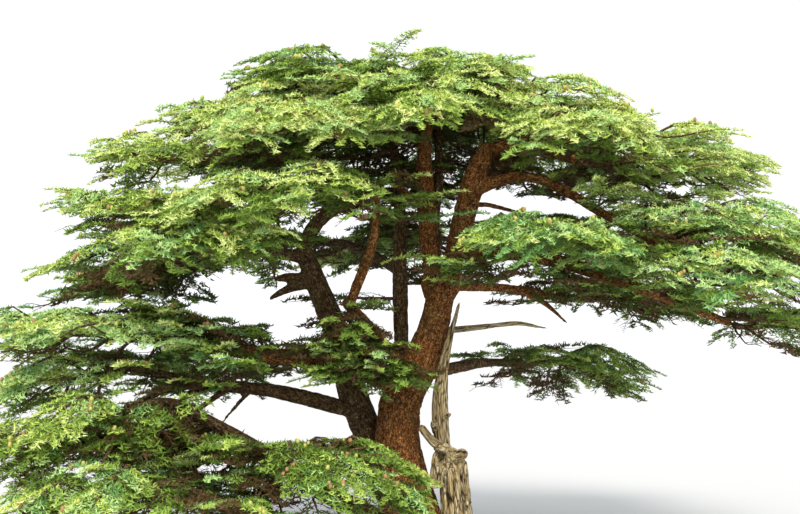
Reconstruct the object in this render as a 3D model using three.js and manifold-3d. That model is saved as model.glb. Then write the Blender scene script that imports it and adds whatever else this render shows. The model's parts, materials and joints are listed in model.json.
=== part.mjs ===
// An old many-stemmed cedar: a leaning trunk that forks low, level boughs, and a
// broad crown of flat plates of foliage in tiers. Millimetres, +Z up. The origin is
// the centre of the flat cut at ground level, +X is to the right and +Y is the back.

import * as THREE from "three";
import Module from "manifold-3d";

const wasm = await Module();
wasm.setup();

// Driving dimensions: places and sizes of limbs and foliage are in metres
const METRE = 1000;
const GAP = 0.35; // between a piece and the one that it was cut clear of, in millimetres
const CORNER_TRIES = 30;
const LEAST_LEAN = 0.12; // keeps a cutter's sharp corners from running far out
const LIMB_SIDES = 7;
const RINGS_PER_STRETCH = 2;
const TRUNK_SIDES = 12;
const BLUNT_END = 0.5; // how far a limb's closed end stands out, as a share of its radius
const FLARE = { spread: 0.34, height: 0.75, buttresses: 5, depth: 0.1, turn: 0.6 };
const PLATE_STATIONS = 6; // stations from the stalk of a plate of foliage to its tip
const PLATE_ROWS = [-1, -0.45, 0.45, 1]; // rows of corners across a plate, from rim to rim
const PLATE_UNEVEN = 0.2; // how far tops and lobes stray from the even shape
const LOBE = { out: 1.2, in: 0.74 }; // rim corners lie out and in by turns
const OUTLINE = { opening: 0.75, closing: 0.5, fullness: 2.05 }; // how a plate widens and closes
const DEPTH = { start: 0.14, span: 0.82, roundness: 0.6 }; // how its thickness grows and fades
const STALK = 0.13; // a plate's width where it leaves its bough, as a share of its width
const BACK = 0.12; // how far a plate reaches back past its bough's end, as a share of its length
const SIDE_DROOP = 0.1; // how far a plate's sides hang, as a share of its width

const BARK = { lit: 0x8a5229, dull: 0x5b4330, mossy: 0x6a5a2c, dead: 0xb5a06f };
const GREEN = { bright: 0x93a83c, middle: 0x66893a, cool: 0x527f52, dark: 0x33542f };

// Limbs: each course is a short run of [x, y, z, diameter] from its seat to its end
const LIMBS = [
  {
    name: "trunk",
    colour: BARK.lit,
    sides: TRUNK_SIDES,
    rings: 1,
    grounded: true,
    flare: FLARE,
    course: [
      [0, 0, 0, 1.5], [-0.12, 0, 0.9, 1.42], [-0.36, 0, 2, 1.26], [-0.53, 0, 3, 1.13], [-0.45, 0, 4, 1.08],
      [0.05, 0, 4.85, 0.95], [0.36, 0, 5.7, 0.8], [0.54, 0, 6.6, 0.72], [0.62, 0, 7.2, 0.72],
    ],
  },
  {
    name: "left_stem",
    colour: BARK.lit,
    rings: 1,
    course: [
      [0.45, 0, 6.9, 0.46], [0.29, 0, 7.9, 0.54], [0.22, 0, 8.8, 0.52],
      [0.16, 0.05, 10.2, 0.42], [0.3, 0.1, 11.6, 0.26], [0.5, 0.2, 12.8, 0.13],
    ],
  },
  {
    name: "right_stem",
    colour: BARK.lit,
    course: [
      [0.8, -0.04, 6.9, 0.48], [1.0, -0.08, 7.9, 0.64], [1.24, -0.15, 8.9, 0.66],
      [1.45, -0.25, 9.6, 0.64], [1.76, -0.36, 10.25, 0.5],
    ],
  },
  {
    name: "right_arch_bough",
    colour: BARK.lit,
    course: [
      [1.66, -0.36, 10.12, 0.4], [2.3, -0.7, 10.36, 0.38],
      [3.0, -1.1, 10.2, 0.32], [3.8, -1.5, 9.8, 0.24],
    ],
  },
  {
    name: "rear_stem",
    colour: BARK.dull,
    course: [
      [0.4, 0.1, 8.1, 0.26], [0.56, 0.6, 9.6, 0.27],
      [0.55, 1.2, 11, 0.22], [0.6, 1.8, 12.2, 0.12],
    ],
  },
  {
    name: "second_stem",
    colour: BARK.dull,
    rings: 1,
    course: [
      [-0.42, 0.3, 4.1, 0.5], [-0.42, 0.48, 5.6, 0.44], [-0.45, 0.6, 7.2, 0.42],
      [-0.45, 0.75, 9, 0.37], [-0.6, 0.9, 10.6, 0.27], [-1.0, 1.0, 12.2, 0.14],
    ],
  },
  {
    name: "leaning_stem",
    colour: BARK.dull,
    course: [
      [-0.6, 0.4, 1.3, 0.7], [-1.1, 0.55, 2.7, 0.8], [-1.6, 0.6, 4, 0.82],
      [-2.0, 0.55, 5.5, 0.72], [-2.5, 0.45, 6.7, 0.68], [-2.9, 0.3, 7.75, 0.56],
    ],
  },
  {
    name: "leaning_stem_top",
    colour: BARK.dull,
    course: [
      [-2.88, 0.28, 7.6, 0.46], [-2.72, 0, 8.3, 0.44],
      [-2.05, -0.4, 8.8, 0.36], [-1.45, -0.95, 8.95, 0.26],
    ],
  },
  {
    name: "leaning_left_bough",
    colour: BARK.dull,
    course: [[-2.95, 0.2, 7.6, 0.34], [-4.5, -0.3, 7.85, 0.3], [-6.3, -1.1, 7.8, 0.18]],
  },
  {
    name: "curved_bough_lower",
    colour: BARK.mossy,
    course: [[-0.45, -0.35, 4.9, 0.34], [-1.15, -0.75, 5.75, 0.32], [-1.78, -0.95, 6.42, 0.29]],
  },
  {
    name: "curved_bough_upper",
    colour: BARK.lit,
    course: [
      [-1.68, -0.97, 6.36, 0.27], [-1.42, -1.1, 7, 0.27],
      [-1.08, -1.22, 7.9, 0.26], [-1.0, -1.5, 9.25, 0.22],
    ],
  },
  {
    name: "left_red_bough",
    colour: BARK.lit,
    course: [
      [-0.7, -0.3, 4.5, 0.56], [-1.9, -0.95, 4.9, 0.48],
      [-3.6, -1.5, 5.12, 0.42], [-5.3, -2.1, 5.4, 0.26],
    ],
  },
  {
    name: "left_dark_bough",
    colour: BARK.dull,
    course: [
      [-1.55, 0.4, 3.7, 0.44], [-3.6, -0.3, 4.25, 0.4],
      [-5.0, -1.1, 4.4, 0.34], [-6.3, -1.8, 4.75, 0.2],
    ],
  },
  {
    name: "left_rising_bough",
    colour: BARK.dull,
    course: [
      [-0.7, 0.2, 1, 0.5], [-2.3, -0.3, 1.75, 0.5],
      [-3.9, -1.5, 2.95, 0.44], [-5.4, -2.4, 3.95, 0.26],
    ],
  },
  {
    name: "left_low_bough",
    colour: BARK.dull,
    course: [
      [-0.65, -0.3, 0.65, 0.52], [-2.2, -1.6, 1.05, 0.48],
      [-3.9, -3, 1.65, 0.4], [-5.2, -3.9, 2.3, 0.26],
    ],
  },
  {
    name: "left_upper_bough",
    colour: BARK.dull,
    course: [[-0.5, 0.7, 9.1, 0.24], [-2.5, 0.45, 9.85, 0.22], [-4.8, 0.1, 10.25, 0.13]],
  },
  {
    name: "right_sweep_bough",
    colour: BARK.lit,
    course: [
      [1.4, -0.2, 9.25, 0.34], [2.3, -0.6, 9.55, 0.3], [3.1, -1, 9.4, 0.28],
      [4.4, -1.6, 8.5, 0.26], [6.0, -2.15, 7.5, 0.18],
    ],
  },
  {
    name: "right_low_bough",
    colour: BARK.lit,
    course: [
      [1.0, -0.2, 7.65, 0.36], [2.6, -1.3, 7.55, 0.36],
      [4.6, -2, 6.9, 0.32], [7.3, -2, 5.85, 0.18],
    ],
  },
  {
    name: "right_red_bough",
    colour: BARK.lit,
    course: [
      [0.7, 0.1, 6.9, 0.28], [1.4, 0.3, 6.85, 0.27],
      [2.3, 0.7, 6.85, 0.25], [4.0, 1.5, 6.6, 0.18],
    ],
  },
  {
    name: "right_high_bough",
    colour: BARK.dull,
    course: [[1.6, 0, 9.8, 0.24], [3.1, 0.7, 9.7, 0.2], [5.4, 1.3, 9.75, 0.12]],
  },
  {
    name: "rear_right_bough",
    colour: BARK.dull,
    course: [[1.1, 0, 8.2, 0.36], [2.3, 2, 8.7, 0.3], [4.0, 4, 8.7, 0.18]],
  },
  {
    name: "rear_middle_bough",
    colour: BARK.dull,
    course: [[0.42, 0.1, 7.7, 0.3], [0.6, 2.4, 8.4, 0.28], [0.5, 4.9, 8.4, 0.18]],
  },
  {
    name: "rear_left_bough",
    colour: BARK.dull,
    course: [[-0.45, 0.7, 7.3, 0.34], [-2, 2.5, 8.2, 0.28], [-3.9, 4.3, 8.3, 0.18]],
  },
  {
    name: "low_rear_right_bough",
    colour: BARK.dull,
    course: [[0.05, 0.3, 4.6, 0.4], [1.7, 2.3, 4.9, 0.32], [3.2, 4.5, 4.9, 0.18]],
  },
  {
    name: "low_rear_left_bough",
    colour: BARK.dull,
    course: [[-1.75, 0.8, 4.5, 0.4], [-3, 2.7, 4.9, 0.3], [-4.5, 4.6, 4.9, 0.18]],
  },
  {
    name: "dead_stump",
    colour: BARK.dead,
    grounded: true,
    course: [[1.04, -0.3, 0, 0.84], [0.92, -0.3, 1.4, 0.78], [0.82, -0.3, 2.6, 0.7]],
    arm: [[1.1, -0.5, 2.66, 0.26], [0.6, -0.56, 2.8, 0.28], [0.3, -0.58, 3.05, 0.24], [0.05, -0.62, 3.4, 0.2]],
  },
  {
    name: "dead_stem",
    colour: BARK.dead,
    course: [
      [0.66, -0.24, 2.6, 0.38], [0.54, -0.2, 3.6, 0.38],
      [0.54, -0.18, 4.3, 0.28], [0.62, -0.22, 5.0, 0.1],
    ],
  },
];

// Foliage: each plate grows from its bough ("on", at share "at" of its course) to its
// furthest tip, with its width, its thickness and how high its middle rises
const PLATES = [
  {
    name: "top_right", on: "left_stem", at: 0.97,
    tip: [3.3, -0.5, 12.25], wide: 4.6, thick: 1.25, rise: 0.05, back: 0.4,
  },
  {
    name: "top_left", on: "left_stem", at: 0.93,
    tip: [-4.8, 0.6, 12.5], wide: 4.2, thick: 1.1, rise: 0.1,
  },
  {
    name: "top_rear", on: "rear_stem", at: 0.95,
    tip: [0.9, 6.2, 11.4], wide: 6, thick: 1.5, rise: 0.6,
  },
  {
    name: "top_front", on: "left_stem", at: 0.84,
    tip: [0.1, -5, 9.9], wide: 4.6, thick: 1.4, rise: 0.6,
  },
  {
    name: "upper_front_left", on: "second_stem", at: 0.84,
    tip: [-4.3, -4.4, 9.8], wide: 4.6, thick: 1.45, rise: 0.5,
  },
  {
    name: "upper_left", on: "second_stem", at: 0.9,
    tip: [-6.5, -0.3, 11.1], wide: 4.4, thick: 1.5, rise: 0.3,
  },
  {
    name: "upper_rear_left", on: "second_stem", at: 0.86,
    tip: [-5, 5, 10.4], wide: 5.6, thick: 1.5, rise: 0.5,
  },
  {
    name: "upper_right_front", on: "right_arch_bough", at: 0.6,
    tip: [4.4, -4.8, 9.7], wide: 4, thick: 1.4, rise: 0.5,
  },
  {
    name: "upper_right", on: "left_stem", at: 0.88,
    tip: [6, 0.5, 11.2], wide: 4.4, thick: 1.4, rise: 0.15,
  },
  {
    name: "upper_rear_right", on: "rear_stem", at: 0.8,
    tip: [5.4, 5, 10.5], wide: 5.6, thick: 1.5, rise: 0.5,
  },
  {
    name: "right_tier_high", on: "right_arch_bough", at: 0.85,
    tip: [7.7, 0, 10.45], wide: 4.6, thick: 1.55, rise: 0.25,
  },
  {
    name: "left_tier_high", on: "left_upper_bough", at: 0.75,
    tip: [-8.4, 0.2, 10.3], wide: 4.8, thick: 1.6, rise: 0.1,
  },
  {
    name: "front_left_skirt", on: "curved_bough_upper", at: 0.93,
    tip: [-5.4, -5, 8.2], wide: 4.4, thick: 1.25, rise: 0.4,
  },
  {
    name: "left_tier_mid", on: "leaning_stem_top", at: 0.3,
    tip: [-8.8, -1.2, 8.9], wide: 4.6, thick: 1.6, rise: 0.3,
  },
  {
    name: "left_tier_low", on: "leaning_left_bough", at: 0.7,
    tip: [-9.6, -1.4, 6.65], wide: 4.8, thick: 1.9, rise: 0.15,
  },
  {
    name: "front_left_low", on: "leaning_left_bough", at: 0.4,
    tip: [-5.6, -5.8, 7.3], wide: 3.6, thick: 1.2, rise: 0.4,
  },
  {
    name: "rear_left_tier", on: "rear_left_bough", at: 0.85,
    tip: [-7.8, 6.4, 7.9], wide: 6, thick: 1.6, rise: 0.4,
  },
  {
    name: "rear_middle_tier", on: "rear_middle_bough", at: 0.85,
    tip: [0, 9.6, 8], wide: 6.4, thick: 1.6, rise: 0.5,
  },
  {
    name: "rear_right_tier", on: "rear_right_bough", at: 0.85,
    tip: [7.8, 6.4, 8.1], wide: 6, thick: 1.6, rise: 0.4,
  },
  {
    name: "right_tier_mid", on: "right_high_bough", at: 0.85,
    tip: [9.3, 1, 9.9], wide: 5, thick: 1.8, rise: 0.3, back: 0.3,
  },
  {
    name: "right_front_tier", on: "right_low_bough", at: 0.2,
    tip: [3.6, -5.4, 7.3], wide: 4, thick: 1.5, rise: 0.4,
  },
  {
    name: "right_tier_low", on: "right_sweep_bough", at: 0.84,
    tip: [9.8, -2, 7.5], wide: 4.8, thick: 1.8, rise: 0.5, back: 0.35,
  },
  {
    name: "right_spread", on: "right_low_bough", at: 0.62,
    tip: [8.4, -4.4, 6.6], wide: 3.6, thick: 1.4, rise: 0.4,
  },
  {
    name: "right_tier_lowest", on: "right_low_bough", at: 0.92,
    tip: [10.1, -1.4, 5.4], wide: 3.6, thick: 1.3, rise: 0.3,
  },
  {
    name: "left_low_tier", on: "left_red_bough", at: 0.88,
    tip: [-10.2, -2.6, 5.8], wide: 4.6, thick: 1.5, rise: 0.3,
  },
  {
    name: "left_lower_tier", on: "left_dark_bough", at: 0.8,
    tip: [-10.6, -0.9, 4.4], wide: 4.8, thick: 1.55, rise: 0.3,
  },
  {
    name: "left_bottom_tier", on: "left_rising_bough", at: 0.88,
    tip: [-9.9, -4, 3.1], wide: 4.8, thick: 1.8, rise: 0.3, back: 0.15,
  },
  {
    name: "left_ground_tier", on: "left_low_bough", at: 0.8,
    tip: [-8.6, -5.6, 1.9], wide: 4.6, thick: 1.8, rise: 0.4,
  },
  {
    name: "front_low_tier", on: "left_rising_bough", at: 0.68,
    tip: [0.15, -4.3, 1.9], wide: 4.6, thick: 1.4, rise: 0.3,
  },
  {
    name: "trunk_tuft", on: "left_red_bough", at: 0.34,
    tip: [-0.65, -1.6, 4.8], wide: 1.6, thick: 1.0, rise: 0,
  },
  {
    name: "right_inner_tier", on: "right_red_bough", at: 0.85,
    tip: [8, 3, 6.5], wide: 4.4, thick: 1.3, rise: 0.3,
  },
  {
    name: "low_rear_right", on: "low_rear_right_bough", at: 0.85,
    tip: [6.4, 7.2, 4.2], wide: 5.6, thick: 1.4, rise: 0.4,
  },
  {
    name: "low_rear_left", on: "low_rear_left_bough", at: 0.85,
    tip: [-8, 6.8, 4.2], wide: 5.6, thick: 1.5, rise: 0.4,
  },
];

const plateColours = [GREEN.bright, GREEN.middle, GREEN.cool, GREEN.dark];

// A repeatable run of numbers from 0 to 1, from a whole-number seed
function makeUneven(seed) {
  let state = seed * 2654435761 + 12345;
  return () => {
    state = (Math.imul(state ^ (state >>> 15), 2246822519) + 374761393) >>> 0;
    return ((state ^ (state >>> 13)) >>> 0) / 4294967296;
  };
}

function point([x, y, z]) {
  return new THREE.Vector3(x, y, z).multiplyScalar(METRE);
}

function courseCurve(course) {
  return new THREE.CatmullRomCurve3(course.map(point), false, "centripetal");
}

// The radius of a limb at share t of its course
function radiusAt(course, t) {
  const place = t * (course.length - 1);
  const first = Math.min(Math.floor(place), course.length - 2);
  return (METRE / 2) * THREE.MathUtils.lerp(course[first][3], course[first + 1][3], place - first);
}

// How much wider the trunk is near the ground: a flare with a few buttresses
function flareAt(flare, height, angle) {
  if (!flare) {
    return 1;
  }
  const fade = Math.exp(-height / (flare.height * METRE));
  const ridge = flare.depth * Math.cos(flare.buttresses * angle + flare.turn);
  return 1 + fade * (flare.spread + ridge);
}

function geometryOf(positions, indices) {
  const geometry = new THREE.BufferGeometry();
  geometry.setAttribute("position", new THREE.Float32BufferAttribute(positions, 3));
  geometry.setIndex(indices);
  return geometry;
}

// A tapering limb: rings of points along its course, closed by a blunt cap at each end
function limbGeometry(limb) {
  const { course, sides = LIMB_SIDES, rings = RINGS_PER_STRETCH, grounded = false, flare = null } = limb;
  const curve = courseCurve(course);
  const steps = (course.length - 1) * rings;
  const positions = [];
  const indices = [];
  const [start, next] = [curve.getPoint(0), curve.getPoint(1)];
  const runsSideways = Math.abs(next.x - start.x) > Math.abs(next.z - start.z);
  let across = runsSideways ? new THREE.Vector3(0, 1, 0) : new THREE.Vector3(1, 0, 0);
  for (let i = 0; i <= steps; i += 1) {
    const t = i / steps;
    const centre = curve.getPoint(t);
    const along = grounded && i === 0 ? new THREE.Vector3(0, 0, 1) : curve.getTangent(t);
    across = across.clone().addScaledVector(along, -across.dot(along)).normalize();
    const beside = along.clone().cross(across);
    for (let j = 0; j < sides; j += 1) {
      const angle = (j / sides) * Math.PI * 2;
      const radius = radiusAt(course, t) * flareAt(flare, centre.z, angle);
      const spot = centre.clone();
      spot.addScaledVector(across, Math.cos(angle) * radius);
      spot.addScaledVector(beside, Math.sin(angle) * radius);
      positions.push(spot.x, spot.y, spot.z);
    }
  }
  for (let i = 0; i < steps; i += 1) {
    for (let j = 0; j < sides; j += 1) {
      const a = i * sides + j;
      const b = i * sides + ((j + 1) % sides);
      indices.push(a, b, b + sides, a, b + sides, a + sides);
    }
  }
  const foot = curve.getPoint(0);
  const end = curve.getPoint(1).addScaledVector(curve.getTangent(1), radiusAt(course, 1) * BLUNT_END);
  const footIndex = positions.length / 3;
  positions.push(foot.x, foot.y, foot.z, end.x, end.y, end.z);
  const last = steps * sides;
  for (let j = 0; j < sides; j += 1) {
    const next = (j + 1) % sides;
    indices.push(footIndex, next, j, footIndex + 1, last + j, last + next);
  }
  return geometryOf(positions, indices);
}

// The half width of a plate at share t of its length, before its lobes
function plateOutline(t) {
  const swell = OUTLINE.fullness * Math.pow(t, OUTLINE.opening) * Math.pow(1 - t, OUTLINE.closing);
  return Math.max(swell, STALK * (1 - t));
}

// A plate of foliage: a flat, lobed, uneven solid, arched along its length, whose
// sides hang and whose rim is thin
function plateGeometry({ tip, wide, thick, rise, back = BACK }, seat, seed) {
  const uneven = makeUneven(seed);
  const stray = (amount) => 1 + (uneven() * 2 - 1) * amount;
  const root = seat.clone().lerp(point(tip), -back);
  const along = point(tip).sub(root);
  const beside = new THREE.Vector3(along.y, -along.x, 0).normalize().negate();
  const up = along.clone().normalize().cross(beside).normalize();
  if (up.z < 0) {
    up.negate();
  }
  const positions = [];
  const place = (t, side, lift) => {
    const spot = root.clone().addScaledVector(along, t).addScaledVector(beside, side * METRE);
    spot.addScaledVector(up, lift * METRE);
    positions.push(spot.x, spot.y, spot.z);
    return positions.length / 3 - 1;
  };
  const tops = [];
  const bottoms = [];
  for (let i = 0; i <= PLATE_STATIONS; i += 1) {
    const t = i / PLATE_STATIONS;
    const arch = rise * 4 * t * (1 - t);
    const isEnd = i === 0 || i === PLATE_STATIONS;
    if (isEnd) {
      const only = place(t, 0, arch);
      tops.push(PLATE_ROWS.map(() => only));
      bottoms.push(PLATE_ROWS.map(() => only));
      continue;
    }
    const half = (wide / 2) * plateOutline(t);
    const fullness = Math.sin(Math.PI * (DEPTH.start + DEPTH.span * t));
    const depth = (thick / 2) * Math.pow(fullness, DEPTH.roundness);
    const lobe = i % 2 === 0 ? LOBE.out : LOBE.in;
    const top = [];
    const bottom = [];
    for (const share of PLATE_ROWS) {
      const isRim = Math.abs(share) === 1;
      const side = share * half * (isRim ? lobe * stray(PLATE_UNEVEN) : 1);
      const hang = arch - SIDE_DROOP * wide * share * share * plateOutline(t);
      if (isRim) {
        const rim = place(t, side, hang);
        top.push(rim);
        bottom.push(rim);
      } else {
        top.push(place(t, side, hang + depth * stray(PLATE_UNEVEN)));
        bottom.push(place(t, side, hang - depth * stray(PLATE_UNEVEN)));
      }
    }
    tops.push(top);
    bottoms.push(bottom);
  }
  const indices = [];
  const face = (a, b, c) => {
    if (a !== b && b !== c && c !== a) {
      indices.push(a, b, c);
    }
  };
  for (let i = 0; i < PLATE_STATIONS; i += 1) {
    for (let k = 0; k < PLATE_ROWS.length - 1; k += 1) {
      face(tops[i][k], tops[i + 1][k], tops[i + 1][k + 1]);
      face(tops[i][k], tops[i + 1][k + 1], tops[i][k + 1]);
      face(bottoms[i][k], bottoms[i + 1][k + 1], bottoms[i + 1][k]);
      face(bottoms[i][k], bottoms[i][k + 1], bottoms[i + 1][k + 1]);
    }
  }
  return geometryOf(positions, indices);
}

// The solid of a closed geometry, turned the right way out
function solidOf(geometry) {
  const vertProperties = new Float32Array(geometry.attributes.position.array);
  const triVerts = new Uint32Array(geometry.index.array);
  const solid = new wasm.Manifold(new wasm.Mesh({ numProp: 3, vertProperties, triVerts }));
  if (solid.volume() > 0) {
    return solid;
  }
  for (let i = 0; i < triVerts.length; i += 3) {
    [triVerts[i], triVerts[i + 1]] = [triVerts[i + 1], triVerts[i]];
  }
  geometry.setIndex(new THREE.BufferAttribute(triVerts, 1));
  return new wasm.Manifold(new wasm.Mesh({ numProp: 3, vertProperties, triVerts }));
}

// The step that takes a corner out past all the faces that meet there
function cornerStep(normals) {
  const lean = normals.reduce((sum, normal) => sum.add(normal), new THREE.Vector3()).normalize();
  let best = lean.clone();
  let most = -1;
  for (let i = 1; i <= CORNER_TRIES; i += 1) {
    const flattest = normals.reduce((a, b) => (lean.dot(a) <= lean.dot(b) ? a : b));
    if (lean.dot(flattest) > most) {
      most = lean.dot(flattest);
      best = lean.clone();
    }
    lean.addScaledVector(flattest, 1 / (i + 1)).normalize();
  }
  return best.multiplyScalar(GAP / Math.max(most, LEAST_LEAN));
}

// The same shape with each face moved out, as a cutter that leaves a small gap
function grownSolid(geometry) {
  const grown = geometry.clone();
  const position = grown.attributes.position;
  const index = grown.index.array;
  const corner = (i) => new THREE.Vector3().fromBufferAttribute(position, i);
  const normals = Array.from({ length: position.count }, () => []);
  for (let i = 0; i < index.length; i += 3) {
    const [a, b, c] = [corner(index[i]), corner(index[i + 1]), corner(index[i + 2])];
    const normal = b.sub(a).cross(c.sub(a)).normalize();
    for (let k = 0; k < 3; k += 1) {
      normals[index[i + k]].push(normal);
    }
  }
  const moved = normals.map((faces, i) => corner(i).add(cornerStep(faces)));
  moved.forEach((spot, i) => position.setXYZ(i, spot.x, spot.y, spot.z));
  return solidOf(grown);
}

// The biggest body of a solid: a cut may leave loose crumbs beside it
function mainBody(solid) {
  const bodies = solid.decompose();
  return bodies.reduce((best, body) => (body.volume() > best.volume() ? body : best));
}

const tree = new THREE.Group();
const cutters = [];

// Cuts a new piece clear of all the pieces before it, and adds it to the tree
function addPiece(name, geometry, colour, extra = null) {
  geometry.computeBoundingBox();
  let solid = solidOf(geometry);
  const shapes = [geometry];
  if (extra) {
    solid = solid.add(solidOf(extra));
    extra.computeBoundingBox();
    shapes.push(extra);
  }
  for (const cutter of cutters) {
    if (shapes.some((shape) => shape.boundingBox.intersectsBox(cutter.box))) {
      solid = solid.subtract(cutter.solid);
    }
  }
  const { vertProperties, triVerts } = mainBody(solid).getMesh();
  const cut = new THREE.BufferGeometry();
  cut.setAttribute("position", new THREE.BufferAttribute(vertProperties, 3));
  cut.setIndex(new THREE.BufferAttribute(triVerts, 1));
  cut.computeVertexNormals();
  const material = new THREE.MeshStandardMaterial({ color: colour, roughness: 0.9, metalness: 0 });
  const mesh = new THREE.Mesh(cut, material);
  mesh.name = name;
  tree.add(mesh);
  for (const shape of shapes) {
    cutters.push({ solid: grownSolid(shape), box: shape.boundingBox });
  }
}

for (const limb of LIMBS) {
  const arm = limb.arm ? limbGeometry({ course: limb.arm }) : null;
  addPiece(limb.name, limbGeometry(limb), limb.colour, arm);
}

PLATES.forEach((plate, index) => {
  const bough = LIMBS.find((limb) => limb.name === plate.on);
  const seat = courseCurve(bough.course).getPoint(plate.at);
  const colour = plateColours[index % plateColours.length];
  addPiece(`foliage_${plate.name}`, plateGeometry(plate, seat, index + 1), colour);
});

export default tree;
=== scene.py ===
import json
import math

import bpy
import numpy as np
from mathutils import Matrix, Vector
from mathutils.bvhtree import BVHTree


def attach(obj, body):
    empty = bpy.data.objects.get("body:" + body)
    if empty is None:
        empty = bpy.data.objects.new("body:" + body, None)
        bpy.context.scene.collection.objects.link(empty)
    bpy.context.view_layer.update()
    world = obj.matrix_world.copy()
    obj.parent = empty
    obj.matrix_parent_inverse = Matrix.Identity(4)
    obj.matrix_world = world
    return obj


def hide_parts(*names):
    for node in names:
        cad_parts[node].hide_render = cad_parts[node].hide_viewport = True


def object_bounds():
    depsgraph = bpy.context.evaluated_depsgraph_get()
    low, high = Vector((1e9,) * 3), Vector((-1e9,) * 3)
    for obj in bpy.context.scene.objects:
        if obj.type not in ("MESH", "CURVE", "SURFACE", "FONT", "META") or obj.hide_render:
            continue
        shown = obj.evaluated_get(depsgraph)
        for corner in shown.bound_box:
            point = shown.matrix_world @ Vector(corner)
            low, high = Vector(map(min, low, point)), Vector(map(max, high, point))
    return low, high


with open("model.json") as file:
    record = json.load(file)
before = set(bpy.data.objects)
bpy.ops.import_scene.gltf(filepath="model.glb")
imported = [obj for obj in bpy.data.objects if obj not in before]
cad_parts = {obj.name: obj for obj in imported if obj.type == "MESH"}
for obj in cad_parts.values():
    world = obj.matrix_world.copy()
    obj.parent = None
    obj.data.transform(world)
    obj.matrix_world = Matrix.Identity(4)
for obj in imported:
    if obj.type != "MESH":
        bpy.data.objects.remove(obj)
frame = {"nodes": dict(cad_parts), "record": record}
cad_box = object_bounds()

SEED = 1907
UP = np.array([0.0, 0.0, 1.0])
PIECE_LIMIT = 190_000  # triangles in one piece of needles or twigs

# The masses of foliage: which limb carries each, and how much darker its sprays are than others of its slot,
# as painted shade, or lighter as painted light if below 0
MASSES = (
    ("top_right", "left_stem", 0.06),
    ("top_left", "left_stem", 0.06),
    ("top_rear", "rear_stem", 0),
    ("top_front", "left_stem", 0.15),
    ("upper_front_left", "second_stem", -0.04),
    ("upper_left", "second_stem", -0.08),
    ("upper_rear_left", "second_stem", 0),
    ("upper_right_front", "right_arch_bough", -0.04),
    ("upper_right", "left_stem", -0.18),
    ("upper_rear_right", "rear_stem", 0),
    ("right_tier_high", "right_arch_bough", -0.3),
    ("left_tier_high", "left_upper_bough", 0),
    ("front_left_skirt", "curved_bough_upper", 0.2),
    ("left_tier_mid", "leaning_stem_top", 0.22),
    ("left_tier_low", "leaning_left_bough", 0.18),
    ("front_left_low", "leaning_left_bough", 0.14),
    ("rear_left_tier", "rear_left_bough", 0),
    ("rear_middle_tier", "rear_middle_bough", 0),
    ("rear_right_tier", "rear_right_bough", 0),
    ("right_tier_mid", "right_high_bough", -0.28),
    ("right_front_tier", "right_low_bough", 0.32),
    ("right_tier_low", "right_sweep_bough", -0.16),
    ("right_spread", "right_low_bough", 0),
    ("right_tier_lowest", "right_low_bough", 0),
    ("left_low_tier", "left_red_bough", -0.14),
    ("left_lower_tier", "left_dark_bough", -0.14),
    ("left_bottom_tier", "left_rising_bough", 0.14),
    ("left_ground_tier", "left_low_bough", 0.22),
    ("front_low_tier", "left_rising_bough", 0.26),
    ("trunk_tuft", "left_red_bough", 0.42),
    ("right_inner_tier", "right_red_bough", 0),
    ("low_rear_right", "low_rear_right_bough", 0),
    ("low_rear_left", "low_rear_left_bough", 0),
)

# Needle colours, sRGB from 0 to 255
NEEDLES = {
    "fresh": (212, 226, 140),
    "lime": (178, 202, 94),
    "light": (178, 210, 130),
    "leaf": (140, 172, 72),
    "cool": (122, 170, 94),
    "mid": (108, 138, 48),
    "deep": (88, 112, 40),
    "dark": (76, 92, 34),
    "dead": (90, 70, 38),
}
# The colours of a mass's sprays by its material slot: on top, half way down, and below; partly the needles'
# own colours, partly painted light on the top sprays and painted shade on the lower ones, and painted shade
# throughout the dark slot's sprays deep in the crown
MOODS = {
    "foliage_bright": ("fresh lime light lime", "lime leaf light leaf", "mid deep leaf"),
    "foliage_middle": ("light lime leaf lime", "leaf cool mid", "mid deep mid"),
    "foliage_cool": ("light cool lime light", "cool leaf mid", "deep mid cool"),
    "foliage_dark": ("leaf mid cool", "mid deep mid", "deep dark dead"),
}
THICKET = "dead dead dark"  # the colours of dying sprays in the crown's shade
# The colour of a spray's tips, where it stands in the light
LIGHTER = {
    "fresh": "fresh", "lime": "fresh", "light": "light", "leaf": "lime", "cool": "light",
    "mid": "leaf", "deep": "mid", "dark": "deep", "dead": "dead",
}


def linear(colour):
    """A colour from 0 to 255 as the shader takes it"""
    c = np.array(colour, float) / 255
    return (*np.where(c <= 0.04045, c / 12.92, ((c + 0.055) / 1.055) ** 2.4), 1.0)


def unit(v):
    return v / np.maximum(np.linalg.norm(v, axis=-1, keepdims=True), 1e-9)


def eased(t):
    """Shares from 0 to 1 with a soft start and end"""
    return t * t * (3 - 2 * t)


# Repeatable noise

def hashed(cell, salt):
    """A repeatable number from 0 to 1 for each whole-number cell"""
    n = cell[..., 0] * 73856093 ^ cell[..., 1] * 19349663 ^ cell[..., 2] * 83492791 ^ (salt * 40503 + 977)
    n = ((n ^ (n >> 13)) & 0xFFFFFFF) * 12741261
    n = (n ^ (n >> 15)) & 0xFFFFFFF
    return ((n * 2654435 >> 7) & 0xFFFF) / 65535


def soft_noise(p, salt):
    """Smooth noise from 0 to 1"""
    base = np.floor(p).astype(np.int64)
    part = eased(p - base)
    total = np.zeros(len(p))
    for corner in np.ndindex(2, 2, 2):
        weight = np.prod(np.where(np.array(corner) == 1, part, 1 - part), axis=1)
        total += weight * hashed(base + np.array(corner), salt)
    return total


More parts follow.
